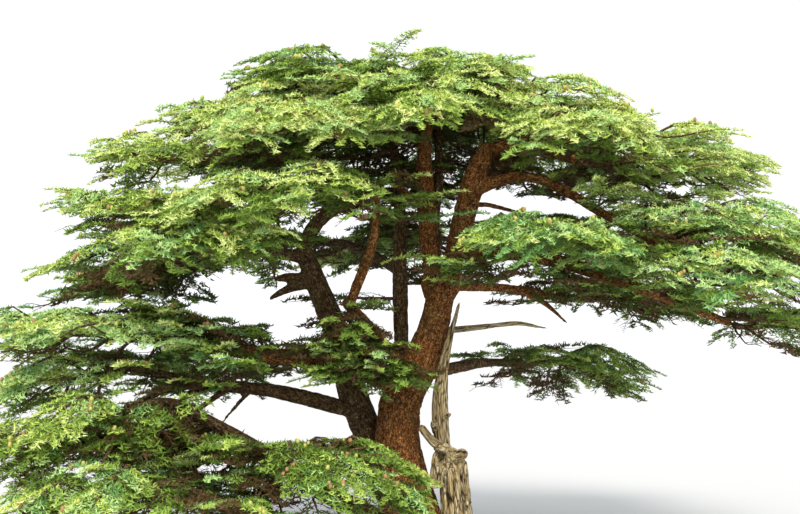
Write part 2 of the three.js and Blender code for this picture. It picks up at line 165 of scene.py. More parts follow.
def plates(p, salt):
    """0 on the cracks between cells of uneven size and growing towards their middles"""
    base = np.floor(p).astype(np.int64)
    nearest = np.full(len(p), 9.0)
    second = nearest.copy()
    for shift in np.ndindex(3, 3, 3):
        cell = base + np.array(shift) - 1
        centre = cell + np.stack([hashed(cell, salt + k) for k in range(3)], axis=1)
        away = np.linalg.norm(p - centre, axis=1)
        second = np.minimum(second, np.maximum(nearest, away))
        nearest = np.minimum(nearest, away)
    return second - nearest


# Lines

def run_along(points):
    """How far each point of a line lies from its start, along the line"""
    return np.concatenate([[0], np.cumsum(np.linalg.norm(np.diff(points, axis=0), axis=1))])


def placed_along(points, run, at):
    """Places at given distances along a line"""
    return np.stack([np.interp(at, run, points[:, k]) for k in range(points.shape[1])], axis=-1)


def square_to(direction):
    """Two unit directions at right angles to one another and to a direction"""
    helper = np.where(np.abs(direction[..., :1]) < 0.8, [1.0, 0, 0], [0, 1.0, 0])
    first = unit(np.cross(direction, helper))
    return first, np.cross(direction, first)


def carried_round(tangents):
    """A direction at right angles to a line, carried along it without twisting"""
    first = np.empty_like(tangents)
    first[0] = square_to(tangents[0])[0]
    for k in range(1, len(tangents)):
        first[k] = unit(first[k - 1] - tangents[k] * (first[k - 1] @ tangents[k]))
    return first


def around(first, other, sides):
    """Directions all round, from two at right angles"""
    turn = np.arange(sides) / sides * 2 * math.pi
    return first[..., None, :] * np.cos(turn)[:, None] + other[..., None, :] * np.sin(turn)[:, None]


# Limbs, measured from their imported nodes

STEP = 0.1  # metres between a limb's measured places
CUT_STEP = 0.25  # metres between the cuts across a packed limb
LEAST_CUTS = 6
SOFTENING = 5  # rounds of evening out the faceted limbs' middle lines
END_SHARE = 0.04  # how near its ends a limb is still measured, as a share of its length


class Limb:
    """The middle line and radius of a limb, at even steps from its foot to its tip"""

    def __init__(self, name, points, radii):
        self.name = name
        self.points = points
        self.radii = radii
        self.along = run_along(points)
        self.tangents = unit(np.gradient(points, axis=0))

    def begun_at(self, back, share):
        """The same limb, begun further back with a share of its foot's radius"""
        radii = np.concatenate([np.full(len(back), self.radii[0] * share), self.radii])
        return Limb(self.name, np.concatenate([back, self.points]), radii)


def read(elements, field, width, kind=float):
    """A field of mesh elements that each have this many numbers in it, in rows of three"""
    values = np.empty(len(elements) * width, kind)
    elements.foreach_get(field, values)
    return values.reshape(-1, 3)


def corners_of(name):
    """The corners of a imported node's triangles"""
    mesh = frame["nodes"][name].data
    mesh.calc_loop_triangles()
    return read(mesh.vertices, "co", 3)[read(mesh.loop_triangles, "vertices", 3, np.int64)]


def section(corners, origin, normal):
    """The middle and the area of a closed mesh where a plane cuts it"""
    height = (corners - origin) @ normal
    crossed = (height > 0).any(1) & (height <= 0).any(1)
    c, h = corners[crossed], height[crossed]
    above = h > 0
    lone = np.where(above.sum(1) == 1, above.argmax(1), (~above).argmax(1))
    order = (lone[:, None] + np.arange(3)) % 3
    rows = np.arange(len(c))[:, None]
    c, h = c[rows, order], h[rows, order]
    a = c[:, 0] + (c[:, 1] - c[:, 0]) * (h[:, 0] / (h[:, 0] - h[:, 1]))[:, None]
    b = c[:, 0] + (c[:, 2] - c[:, 0]) * (h[:, 0] / (h[:, 0] - h[:, 2]))[:, None]
    flipped = (h[:, 0] > 0)[:, None]
    a, b = np.where(flipped, b, a), np.where(flipped, a, b)
    first, other = square_to(normal)
    ax, ay, bx, by = (a - origin) @ first, (a - origin) @ other, (b - origin) @ first, (b - origin) @ other
    cross = ax * by - bx * ay
    area = cross.sum() / 2
    x, y = ((ax + bx) * cross).sum() / (6 * area), ((ay + by) * cross).sum() / (6 * area)
    return origin + first * x + other * y, abs(area)


def measured(name):
    """A limb's middle line and radius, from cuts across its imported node"""
    corners = corners_of(name)
    points = corners.reshape(-1, 3)
    centre = points.mean(0)
    axis = np.linalg.svd(points - centre, full_matrices=False)[2][0]
    along = (points - centre) @ axis
    low, high = along.min(), along.max()
    if np.linalg.norm(centre + axis * high) < np.linalg.norm(centre + axis * low):
        axis, low, high = -axis, -high, -low
    count = max(LEAST_CUTS, round((high - low) / CUT_STEP))
    shares = np.linspace(END_SHARE, 1 - END_SHARE, count)
    cuts = [section(corners, centre + axis * (low + (high - low) * share), axis) for share in shares]
    places, areas = np.array([cut[0] for cut in cuts]), np.array([cut[1] for cut in cuts])
    lean = np.abs(unit(np.gradient(places, axis=0)) @ axis)
    radii = np.sqrt(areas * lean / math.pi)
    reach = (high - low) * END_SHARE
    ends = unit(places[0] - places[1]) * reach, unit(places[-1] - places[-2]) * reach
    places = np.concatenate([[places[0] + ends[0]], places, [places[-1] + ends[1]]])
    radii = np.concatenate([radii[:1], radii, radii[-1:]])
    return evened(name, places, radii)


def evened(name, places, radii):
    """A limb through places, with even steps and no kinks"""
    run = run_along(places)
    at = np.linspace(0, run[-1], max(4, round(run[-1] / STEP) + 1))
    points = placed_along(places, run, at)
    radii = np.interp(at, run, radii)
    for _ in range(SOFTENING):
        points[1:-1] = (points[:-2] + 2 * points[1:-1] + points[2:]) / 4
        radii[1:-1] = (radii[:-2] + 2 * radii[1:-1] + radii[2:]) / 4
    return Limb(name, points, radii)


# Meshes from arrays

class Heap:
    """Triangles gathered from many small parts, with a material for each"""

    def __init__(self):
        self.parts = []

    def add(self, points, faces, kinds):
        points, faces = np.reshape(points, (-1, 3)), np.reshape(faces, (-1, 3))
        self.parts.append((points, faces, np.broadcast_to(kinds, len(faces))))

    def size(self):
        return sum(len(faces) for _, faces, _ in self.parts)

    def piece(self, name, materials, smooth=False):
        points, faces, kinds = zip(*self.parts)
        firsts = np.cumsum([0] + [len(p) for p in points[:-1]])
        faces = np.concatenate([f + first for f, first in zip(faces, firsts)])
        return mesh_piece(name, np.concatenate(points), faces, materials, np.concatenate(kinds), smooth)


def mesh_piece(name, points, faces, materials, kinds=0, smooth=False):
    """A new object from arrays of points and triangles"""
    mesh = bpy.data.meshes.new(name)
    mesh.vertices.add(len(points))
    mesh.vertices.foreach_set("co", points.astype(np.float32).ravel())
    mesh.loops.add(len(faces) * 3)
    mesh.loops.foreach_set("vertex_index", faces.astype(np.int32).ravel())
    mesh.polygons.add(len(faces))
    mesh.polygons.foreach_set("loop_start", np.arange(0, len(faces) * 3, 3, dtype=np.int32))
    for material in materials:
        mesh.materials.append(material)
    mesh.polygons.foreach_set("material_index", np.broadcast_to(kinds, len(faces)).astype(np.int32))
    mesh.polygons.foreach_set("use_smooth", np.full(len(faces), smooth))
    mesh.update(calc_edges=True)
    mesh.validate()
    piece = bpy.data.objects.new(name, mesh)
    bpy.context.scene.collection.objects.link(piece)
    return piece


def closed(rings, foot, tip):
    """The corners and faces of a skin over rings of points, closed at both ends"""
    count, sides = rings.shape[:2]
    corners = np.concatenate([rings.reshape(-1, 3), [foot], [tip]])
    row = np.arange(count - 1)[:, None] * sides
    here, after = np.arange(sides), (np.arange(sides) + 1) % sides
    a, b, c, d = row + here, row + after, row + sides + here, row + sides + after
    last = (count - 1) * sides
    faces = np.concatenate([
        np.stack([a, b, d], axis=-1).reshape(-1, 3),
        np.stack([a, d, c], axis=-1).reshape(-1, 3),
        np.stack([after, here, np.full(sides, len(corners) - 2)], axis=-1),
        np.stack([last + here, last + after, np.full(sides, len(corners) - 1)], axis=-1),
    ])
    return corners, faces


def tube(points, radii, sides):
    """A closed round tube along a line of points"""
    tangents = unit(np.gradient(points, axis=0))
    first = carried_round(tangents)
    rings = around(first, np.cross(tangents, first), sides) * radii[:, None, None]
    return closed(points[:, None] + rings, points[0], points[-1])


# Bark: the limbs fused into one skin, with its plates and cracks raised in the mesh

TUBE_SIDES = 14
COLLAR = 0.28  # how much thicker a limb is where it leaves its carrier
COLLAR_REACH = 2.2  # how far along the limb that fades, in radii of its foot
BLUNTEST = 0.08  # of a tip's rounding, so that its last ring keeps some width
EVENING = 4  # rounds of smoothing where limbs meet
CRACKS_PER_METRE = 22  # of the fine pattern between the plates' own cracks
CRACK_SHARE = 0.32  # how much of a plate slopes down to its cracks
PLATE_LEVEL = 0.7  # which height of the plates lies on the limb's own surface
ROUGHNESS_SIZE = 2.7  # spots of a plate's roughness in a plate's length
ROUGHNESS_DEPTH = 0.25
RIDGE_SIZE = 0.34  # metres across a ridge or hollow of the trunk
RIDGE_DEPTH = 0.085
RIDGE_SQUEEZE = 0.22  # how much a ridge's length is drawn together
KNOB_SHARE = 0.3  # of the ridges' depth, for knobs of half their size
FULL_RELIEF_RADIUS = 0.38  # thinner limbs have shallower relief
LEAST_RELIEF = 0.22
BUTTRESS = {"count": 5, "depth": 0.1, "height": 1.65, "turn": 0.6}
GROUND = 0.2  # limbs whose foot is lower than this stand on the ground
APART = 7.3  # metres of bark between the places of one limb and the next, so that they aren't alike
CHUNK = 4000  # points measured at a time


def limb_tube(limb):
    """A limb's plain tube, thicker at its foot where it leaves a carrier, and round at its tip"""
    collar = 0 if limb.points[0][2] < GROUND or limb.name in CARRIED_ON else COLLAR
    radii = limb.radii * (1 + collar * np.exp(-limb.along / (COLLAR_REACH * limb.radii[0])))
    left = (limb.along[-1] - limb.along) / limb.radii[-1]
    radii = radii * np.sqrt(np.clip(1 - (1 - np.clip(left, 0, 1)) ** 2, BLUNTEST, 1))
    return tube(limb.points, radii, TUBE_SIDES)


def fused(name, tubes, voxel):
    """The points, normals and faces of tubes melted into one closed skin"""
    heap = Heap()
    for corners, faces in tubes:
        heap.add(corners, faces, 0)
    rough = heap.piece(name, [])
    melt = rough.modifiers.new("melt", "REMESH")
    melt.mode = "VOXEL"
    melt.voxel_size = voxel
    even = rough.modifiers.new("even", "SMOOTH")
    even.factor = 0.5
    even.iterations = EVENING
    split = rough.modifiers.new("split", "TRIANGULATE")
    split.quad_method = "SHORTEST_DIAGONAL"
    skin = rough.evaluated_get(bpy.context.evaluated_depsgraph_get()).to_mesh()
    points, normals = read(skin.vertices, "co", 3), read(skin.vertices, "normal", 3)
    faces = read(skin.loops, "vertex_index", 1, np.int64)
    bpy.data.objects.remove(rough)
    return points, normals, faces


def limb_places(points, limbs):
    """For each point, its place across and along the limb that it lies on, and that limb's radius"""
    rows = [(limb.points, limb.radii, limb.along + APART * k, limb.tangents, carried_round(limb.tangents))
            for k, limb in enumerate(limbs)]
    lines, radii, along, tangents, firsts = (np.concatenate(each) for each in zip(*rows))
    nearest = np.empty(len(points), np.int64)
    for start in range(0, len(points), CHUNK):
        away = points[start:start + CHUNK, None] - lines[None]
        nearest[start:start + CHUNK] = (np.linalg.norm(away, axis=2) - radii).argmin(1)
    offset = points - lines[nearest]
    tangent, first = tangents[nearest], firsts[nearest]
    other = np.cross(tangent, first)
    length = along[nearest] + (offset * tangent).sum(1)
    return np.stack([(offset * first).sum(1), (offset * other).sum(1), length], axis=1), radii[nearest]


def bark_piece(name, limbs, material, voxel, plate_size, stretch, depth):
    """Limbs as one piece of bark with relief"""
    points, normals, faces = fused(name, [limb_tube(limb) for limb in limbs], voxel)
    place, radius = limb_places(points, limbs)
    stretched = place * np.array([1, 1, stretch])
    fine = np.clip(radius / FULL_RELIEF_RADIUS, LEAST_RELIEF, 1)
    edge = np.clip(plates(stretched / plate_size, 3) / CRACK_SHARE, 0, 1)
    wobble = soft_noise(stretched / plate_size * ROUGHNESS_SIZE, 8)
    crust = np.clip(edge * (2 - edge) - ROUGHNESS_DEPTH * wobble, 0, 1)
    ridges = soft_noise(place * np.array([1, 1, RIDGE_SQUEEZE]) / RIDGE_SIZE, 11)
    knobs = soft_noise(place / (RIDGE_SIZE * 0.5), 17)
    lift = (depth * (crust - PLATE_LEVEL) + RIDGE_DEPTH * (ridges - 0.5)
            + KNOB_SHARE * RIDGE_DEPTH * (knobs - 0.5))
    turn = np.arctan2(points[:, 1], points[:, 0]) - BUTTRESS["turn"]
    swell = np.clip(1 - points[:, 2] / BUTTRESS["height"], 0, 1) ** 2
    lift = lift * fine + BUTTRESS["depth"] * radius * np.cos(BUTTRESS["count"] * turn) * swell
    points = points + normals * lift[:, None]
    points[:, 2] = np.maximum(points[:, 2], 0)
    piece = mesh_piece(name, points, faces, [material], smooth=True)
    bark_fields(piece, crust, stretched)
    return piece


def bark_fields(piece, crust, grain):
    """Stores what a bark material reads: 0 in the cracks to 1 on the plates, and a place for its patterns"""
    rows = ("crust", "FLOAT", "value", crust), ("grain", "FLOAT_VECTOR", "vector", grain)
    for name, kind, field, values in rows:
        layer = piece.data.attributes.new(name, kind, "POINT")
        layer.data.foreach_set(field, values.astype(np.float32).ravel())


# Materials

STAIN = (86, 84, 48)  # moss on the bark


def surface(name, roughness, specular):
    """A new material and its shader"""
    material = bpy.data.materials.new(name)
    material.use_nodes = True
    shader = material.node_tree.nodes["Principled BSDF"]
    shader.inputs["Roughness"].default_value = roughness
    shader.inputs["Specular IOR Level"].default_value = specular
    return material, shader


def plain(name, colour, roughness=0.6):
    """A material of one plain colour"""
    material, shader = surface(name, roughness, 0.3)
    shader.inputs["Base Color"].default_value = linear(colour)
    return material


def bark_material(name, crack, plate, lit, worn, warm, fleck, bump, gap):
    """Bark: dark cracks, plates of uneven colour, warm patches, pale flecks and a little moss"""
    material, shader = surface(name, 0.9, 0.2)
    nodes, links = material.node_tree.nodes, material.node_tree.links
    crust = nodes.new("ShaderNodeAttribute")
    crust.attribute_name = "crust"
    grain = nodes.new("ShaderNodeAttribute")
    grain.attribute_name = "grain"

    def noise(scale, detail, rough=0.6):
        node = nodes.new("ShaderNodeTexNoise")
        node.inputs["Scale"].default_value = scale
        node.inputs["Detail"].default_value = detail
        node.inputs["Roughness"].default_value = rough
        links.new(grain.outputs["Vector"], node.inputs["Vector"])
        return node.outputs["Fac"]

    def ramp(source, *stops):
        """Colours or greys by places on a pattern's scale"""
        node = nodes.new("ShaderNodeValToRGB")
        while len(node.color_ramp.elements) < len(stops):
            node.color_ramp.elements.new(0.5)
        for element, (place, colour) in zip(node.color_ramp.elements, stops):
            element.position = place
            element.color = linear(colour if isinstance(colour, tuple) else (colour,) * 3)
        links.new(source, node.inputs["Fac"])
        return node.outputs["Color"]

    def mixed(factor, first, second, mode="MIX"):
        node = nodes.new("ShaderNodeMix")
        node.data_type = "RGBA"
        node.blend_type = mode
        for socket, value in (("Factor", factor), ("A", first), ("B", second)):
            target = next(i for i in node.inputs if i.name == socket and i.enabled)
            if isinstance(value, bpy.types.NodeSocket):
                links.new(value, target)
            else:
                target.default_value = value
        return next(o for o in node.outputs if o.enabled)

    tones = ramp(noise(12, 5, 0.75), (0.4, plate), (0.5, lit), (0.6, worn))
    glow = ramp(noise(1.7, 3), (0.44, 0), (0.6, 170))
    tones = mixed(glow, tones, ramp(noise(24, 4, 0.7), (0.36, plate), (0.55, warm)))
    tones = mixed(ramp(noise(21, 2, 0.5), (0.56, 0), (0.64, 190)), tones, linear(fleck))
    edges = nodes.new("ShaderNodeTexVoronoi")
    edges.feature = "DISTANCE_TO_EDGE"
    edges.inputs["Scale"].default_value = CRACKS_PER_METRE
    links.new(grain.outputs["Vector"], edges.inputs["Vector"])
    fine = mixed(ramp(edges.outputs["Distance"], (0.0, 40), (0.12, 255)), linear(crack), tones)
    cracked = mixed(1.0, fine, ramp(crust.outputs["Fac"], (0.0, gap), (0.45, 255)), "MULTIPLY")
    speckled = mixed(0.8, cracked, ramp(noise(30, 3, 0.7), (0.36, 90), (0.56, 255)), "MULTIPLY")
    stained = mixed(ramp(noise(1.1, 4), (0.56, 0), (0.7, 150)), speckled, linear(STAIN))
    links.new(stained, shader.inputs["Base Color"])
    raised = nodes.new("ShaderNodeBump")
    raised.inputs["Strength"].default_value = 0.6
    raised.inputs["Distance"].default_value = bump
    links.new(noise(30, 6, 0.7), raised.inputs["Height"])
    links.new(raised.outputs["Normal"], shader.inputs["Normal"])
    return material


# The crown: boughs, twigs and fans of needles that grow inside the masses of foliage

CELL = 0.2  # metres between the places where a mass's roof and floor are measured
MARGIN = 4  # cells of room round a mass
LEAST_DEPTH = 0.85  # metres from floor to roof at a mass's thin rim, for its fans
ROOF_SHARE = 0.15  # how much of what the rim lacks is added above it rather than below
MAIN_REACH = 0.93  # how far a mass's main bough reaches towards its furthest tip
WANDER = 0.12  # radians that a bough sways off its course
SIDE_STEP = 0.34  # metres between side boughs, in a mass as deep as USUAL_DEPTH
USUAL_DEPTH = 0.92  # metres from floor to roof, on average over a mass
SIDE_LEVELS = (0.0, 0.3, 0.58, 0.8, 0.95)  # where side boughs lie, from a mass's floor to its roof
SHORTEST_BOUGH = 0.45
BOUGH_SIDES = 5
FAN_STEP = 0.2  # metres between fans along a bough
FAN_START = 0.12  # where along a bough its fans start, as a share of its length
FAN_TURN = (0.55, 1.0)  # radians between a bough and its fans
FAN_LENGTH = (0.52, 1.12)
FAN_WIDTH = 0.33  # half a fan's width, as a share of its length
FAN_OVER = 0.3  # metres that a fan may reach past its mass's outline
TIP_LENGTH = (1.0, 1.7)  # of the narrow fan at a bough's end
TIP_WIDTH = 0.15
TIP_OVER = 0.7
LEEWAY = 0.3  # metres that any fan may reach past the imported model's box
EDGES = np.array([list(corner)[:2] for corner in cad_box]) + [[-LEEWAY], [LEEWAY]]  # in plan
SHORTEST_FAN = 0.35
DROOP = (0.0, 0.17)  # how far a fan's tip hangs below its base, as a share of its length
MOST_RISE = 0.14  # how far it may stand above its base, as a share of its length
FAN_SAG = (0.0, 0.11)  # how far a fan's axis is arched, as a share of its length
FAN_SWAY = (-0.12, 0.12)
OPEN_ANGLE = 62  # degrees between a fan's axis and its first branchlets
CLOSING = 26  # how much less that is at its tip
BRIGHT = 0.6  # fans at least this bright have the colours of a mass's top
MIDDLE = 0.38  # and these those of its middle
UNDER = 0.42  # fans less bright than this may be bare or dying
BARE_SHARE = 0.38
DYING_SHARE = 0.14
BRIGHTNESS, BARE, DYING = 8, 9, 10  # places in a fan's row, after its base, tip, half width and roll
# How fans are made in the light and in the shade: metres between branchlets and between shoots, needles
# on a shoot, and a needle's length and width
LIT = {"branchlets": 0.11, "shoots": 0.096, "needles": 3, "length": (0.08, 0.12), "width": 0.038}
SHADED = {"branchlets": 0.155, "shoots": 0.145, "needles": 3, "length": (0.13, 0.19), "width": 0.058}
SHORTEST_TWIG = 0.16  # metres; the wood of shorter branchlets isn't seen among their needles
TIPS = 0.62  # where the tips of a spray begin
CONE_CLUSTERS = 0.13  # a bright fan's chance of bearing cones
CONES_TOGETHER = 4  # at most
RIPE_SHARE = 0.4
CONE_SIDES = 5
CONE_PROFILE = ((0.1, 0.62), (0.5, 1.0), (0.88, 0.62))  # shares of its height and of its width
CONE_HEIGHT = (0.1, 0.14)
CONE_WIDTH = 0.78  # a cone's width as a share of its height

# painted shade on the sprays that grow on the limbs inside the crown
LIMB_SHADE = 0.06  # how much darker the sprays on the limbs themselves are
# Boughs on the limbs themselves, beside and between the masses: the limb, from and to which share of its
# length, how many, between which headings in degrees if not on both its sides, their lengths, how far they
# hang below the limb, how many of their fans are dying, and the kind of their needles
LIMB_GROWTH = (
    ("left_stem", 0.62, 0.84, 7, (20, 160), (1.2, 2.6), 0.35, 0.75, "dark"),
    ("left_stem", 0.9, 0.99, 12, (0, 360), (1.5, 2.9), 1.15, 0.0, "bright"),
    ("rear_stem", 0.35, 0.9, 14, (-10, 190), (1.6, 3.2), 0.35, 0.6, "dark"),
    ("rear_stem", 0.9, 1.0, 7, (0, 360), (1.2, 2.4), 0.5, 0.05, "middle"),
    ("second_stem", 0.62, 0.92, 13, (10, 200), (1.4, 3.0), 0.35, 0.6, "dark"),
    ("second_stem", 0.92, 1.0, 8, (0, 360), (1.3, 2.6), 0.5, 0.05, "middle"),
    ("second_stem", 0.3, 0.62, 10, (20, 170), (1.3, 2.8), 0.3, 0.5, "dark"),
    ("right_stem", 0.85, 1.0, 5, (20, 110), (1.3, 2.4), 0.35, 0.6, "dark"),
    ("right_arch_bough", 0.2, 1.0, 9, None, (1.0, 2.0), 0.35, 0.3, "middle"),
    ("right_sweep_bough", 0.48, 1.0, 14, None, (0.9, 1.9), 0.35, 0.1, "middle"),
    ("right_low_bough", 0.4, 1.0, 13, None, (0.9, 1.9), 0.35, 0.2, "middle"),
    ("right_low_bough", 0.02, 0.45, 11, (180, 330), (0.8, 1.9), 0.9, 0.25, "dark"),
    ("right_high_bough", 0.3, 1.0, 11, None, (1.0, 2.2), 0.35, 0.3, "cool"),
    ("right_red_bough", 0.5, 1.0, 8, None, (0.8, 1.8), 0.35, 0.3, "dark"),
    ("left_upper_bough", 0.3, 1.0, 12, None, (1.0, 2.2), 0.35, 0.35, "middle"),
    ("leaning_left_bough", 0.3, 1.0, 9, None, (0.9, 1.8), 0.35, 0.45, "middle"),
    ("leaning_left_bough", 0.72, 1.0, 15, (100, 250), (0.9, 2.4), 1.5, 0.55, "dark"),
    ("leaning_stem_top", 0.5, 1.0, 6, None, (0.8, 1.6), 0.35, 0.3, "middle"),
    ("curved_bough_upper", 0.8, 1.0, 5, None, (0.8, 1.6), 0.35, 0.2, "middle"),
    ("left_red_bough", 0.05, 0.34, 16, (170, 310), (0.3, 0.7), 0.5, 0.3, "dark"),
    ("left_red_bough", 0.05, 0.28, 8, (60, 150), (0.3, 0.6), 0.35, 0.25, "dark"),
    ("curved_bough_lower", 0.05, 0.95, 40, (150, 300), (0.3, 0.85), 0.75, 0.4, "dark"),
    ("left_red_bough", 0.05, 0.4, 30, (170, 290), (0.3, 0.8), 0.1, 0.4, "dark"),
    ("left_red_bough", 0.62, 1.0, 9, None, (0.9, 1.9), 0.35, 0.2, "cool"),
    ("left_red_bough", 0.55, 1.0, 13, (110, 250), (1.0, 2.2), -0.45, 0.4, "middle"),
    ("left_dark_bough", 0.6, 1.0, 7, None, (0.8, 1.8), 0.35, 0.4, "middle"),
    ("left_rising_bough", 0.5, 1.0, 10, None, (0.8, 1.8), 0.35, 0.25, "middle"),
    ("left_rising_bough", 0.6, 1.0, 9, (150, 290), (1.0, 2.2), 0.9, 0.3, "dark"),
    ("left_rising_bough", 0.75, 1.0, 9, (150, 215), (1.2, 2.4), 1.3, 0.05, "middle"),
    ("left_low_bough", 0.3, 1.0, 13, None, (0.8, 1.9), 0.35, 0.25, "dark"),
    ("left_low_bough", 0.5, 1.0, 14, (90, 250), (1.0, 2.4), -0.35, 0.25, "dark"),
    *((name, 0.4, 1.0, 9, None, (1.0, 2.2), 0.35, 0.35, "dark")
      for name in ("rear_right_bough", "rear_middle_bough", "rear_left_bough")),
    *((name, 0.45, 1.0, 9, None, (0.9, 2.0), 0.35, 0.25, "dark")
      for name in ("low_rear_right_bough", "low_rear_left_bough")),
)


class Mass:
    """The room of a mass of foliage: where it lies in plan, and its floor and roof at each place"""

    def __init__(self, name):
        points = corners_of(name).reshape(-1, 3)
        triangles = np.arange(len(points)).reshape(-1, 3).tolist()
        tree = BVHTree.FromPolygons([Vector(p) for p in points], triangles)
        self.corners = points
        self.origin = points.min(0)[:2] - MARGIN * CELL
        self.shape = np.ceil((points.max(0)[:2] - self.origin) / CELL).astype(int) + MARGIN
        top, base = points[:, 2].max() + 1, points[:, 2].min() - 1
        roof, floor = np.full(self.shape, np.nan), np.full(self.shape, np.nan)
        for cell in np.ndindex(*self.shape):
            x, y = self.origin + np.array(cell) * CELL
            above = tree.ray_cast(Vector((x, y, top)), Vector((0, 0, -1)))[0]
            if above is not None:
                roof[cell] = above.z
                floor[cell] = tree.ray_cast(Vector((x, y, base)), Vector((0, 0, 1)))[0].z
        self.covered = np.isfinite(roof)
        self.depth = float(np.nanmean(roof - floor))
        roof, floor = spread(roof), spread(floor)
        lacking = np.maximum(LEAST_DEPTH - (roof - floor), 0)
        self.roof, self.floor = roof + ROOF_SHARE * lacking, floor - (1 - ROOF_SHARE) * lacking

    def level(self, xy, share):
        """The height at a share of the way from the mass's floor to its roof"""
        at = np.clip((np.asarray(xy) - self.origin) / CELL, 0, np.array(self.shape) - 1.001)
        base = at.astype(int)
        part = at - base
        i, j = base[..., 0], base[..., 1]
        total = 0
        for di, dj in np.ndindex(2, 2):
            weight = (part[..., 0] if di else 1 - part[..., 0]) * (part[..., 1] if dj else 1 - part[..., 1])
            floor, roof = self.floor[i + di, j + dj], self.roof[i + di, j + dj]
            total = total + weight * (floor + (roof - floor) * share)
        return total

    def reach(self, start, heading, wanted):
        """How far a line from a place stays inside the outline"""
        steps = np.arange(0, wanted + 1e-6, CELL / 2)
        line = start[:2] + steps[:, None] * np.array([math.cos(heading), math.sin(heading)])
        cells = np.clip(np.rint((line - self.origin) / CELL).astype(int), 0, self.shape - 1)
        inside = self.covered[cells[:, 0], cells[:, 1]]
        return min(wanted, steps[np.nonzero(inside)[0][-1]]) if inside.any() else 0


def spread(field):
    """A field of measured heights, carried on outwards into its empty cells"""
    field = field.copy()
    while np.isnan(field).any():
        total, count = np.zeros(field.shape), np.zeros(field.shape)
        for shift, axis in ((1, 0), (-1, 0), (1, 1), (-1, 1)):
            moved = np.roll(field, shift, axis)
            total += np.nan_to_num(moved)
            count += np.isfinite(moved)
        empty = np.isnan(field) & (count > 0)
        field[empty] = total[empty] / count[empty]
    return field


class Clearing:
    """Room with no walls, one metre high, for boughs inside the crown that no mass holds"""

    def __init__(self, floor):
        self.floor = floor

    def level(self, xy, share):
        return np.zeros(np.shape(xy)[:-1]) + self.floor + share

    def reach(self, start, heading, wanted):
        return wanted


def course(room, start, heading, length, share, bend, rng, count, climb=1.25, steepest=0.62):
    """A bough's line from a place, which bends in plan and climbs or sinks to a level of its room"""
    t = np.linspace(0, 1, count)
    turn = heading + bend * t + WANDER * np.sin(t * rng.uniform(4, 8) + rng.uniform(0, 6)) * t
    steps = np.stack([np.cos(turn), np.sin(turn)], axis=1)[:-1] * length / (count - 1)
    xy = start[:2] + np.concatenate([[[0, 0]], np.cumsum(steps, axis=0)])
    ease = eased(np.clip(t * climb, 0, 1))
    height = start[2] * (1 - ease) + room.level(xy, share) * ease
    most = steepest * length / (count - 1)
    for k in range(1, count):
        height[k] = np.clip(height[k], height[k - 1] - most, height[k - 1] + most)
    return np.column_stack([xy, height])


def tapered(foot, tip, count):
    """A bough's radii from its foot to its tip"""
    return foot * np.linspace(1, 0, count) ** 0.8 + tip


def led_on(line, limb, seat_at):
    """A main bough's line, bent so that it leaves the end of its limb without a kink"""
    if limb.along[-1] - limb.along[seat_at] > 0.6:
        return line
    run = np.linspace(0, np.linalg.norm(line[-1] - line[0]), len(line))
    ahead = line[0] + limb.tangents[seat_at] * run[:, None]
    weight = np.clip(1 - run / 1.6, 0, 1)[:, None] ** 2
    return line * (1 - weight) + ahead * weight


def add_fans(fans, room, line, share, seat, longest, rng, size=1.0, dying=0.0):
    """Adds fans on both sides of a bough and one at its tip, at levels round the bough's own"""
    run = run_along(line)
    places = np.arange(run[-1] * FAN_START + rng.uniform(0, FAN_STEP), run[-1], FAN_STEP * size)
    side = rng.choice([-1, 1])
    rows = [(at, side * (-1) ** k * rng.uniform(*FAN_TURN)) for k, at in enumerate(places)]
    rows.append((run[-1], rng.uniform(-0.15, 0.15)))
    for at, turn in rows:
        base = placed_along(line, run, at)
        ahead = placed_along(line[:, :2], run, min(at + 0.1, run[-1]))
        back = placed_along(line[:, :2], run, max(at - 0.1, 0))
        heading = math.atan2(*(ahead - back)[::-1]) + turn
        is_tip = at == run[-1]
        width = TIP_WIDTH if is_tip else FAN_WIDTH
        wanted = rng.uniform(*(TIP_LENGTH if is_tip else FAN_LENGTH)) * size
        over = (TIP_OVER if is_tip else FAN_OVER) * rng.uniform(0.2, 1)
        length = min(wanted, room.reach(base, heading, wanted) + over)
        if length < SHORTEST_FAN * size:
            continue
        end = base[:2] + length * np.array([math.cos(heading), math.sin(heading)])
        end = np.clip(end, *EDGES)
        level = float(np.clip(share + rng.uniform(-0.1, 0.18), -0.2, 1.04))
        rise = float(room.level(end, level)) - base[2]
        out = np.linalg.norm(end - seat[:2]) / longest
        hang = rng.uniform(*DROOP) * float(np.clip(3.1 - 2.8 * out, 0.2, 1))
        rise = float(np.clip(rise, -0.5 * length, MOST_RISE * length)) - length * hang
        # painted light and shade: a fan high in its mass and far out from its limb counts as brighter and
        # gets lighter needles
        bright = 0.62 * level + 0.36 * out + rng.uniform(-0.16, 0.16)
        fate = rng.random()
        bare = bright < UNDER and fate < BARE_SHARE
        brown = not bare and (bright < UNDER and fate < BARE_SHARE + DYING_SHARE or rng.random() < dying)
        fans.append((*base, *end, base[2] + rise, width * length * rng.uniform(0.8, 1.2),
                     rng.normal(0, 0.1), MIDDLE if brown else bright, bare, brown))


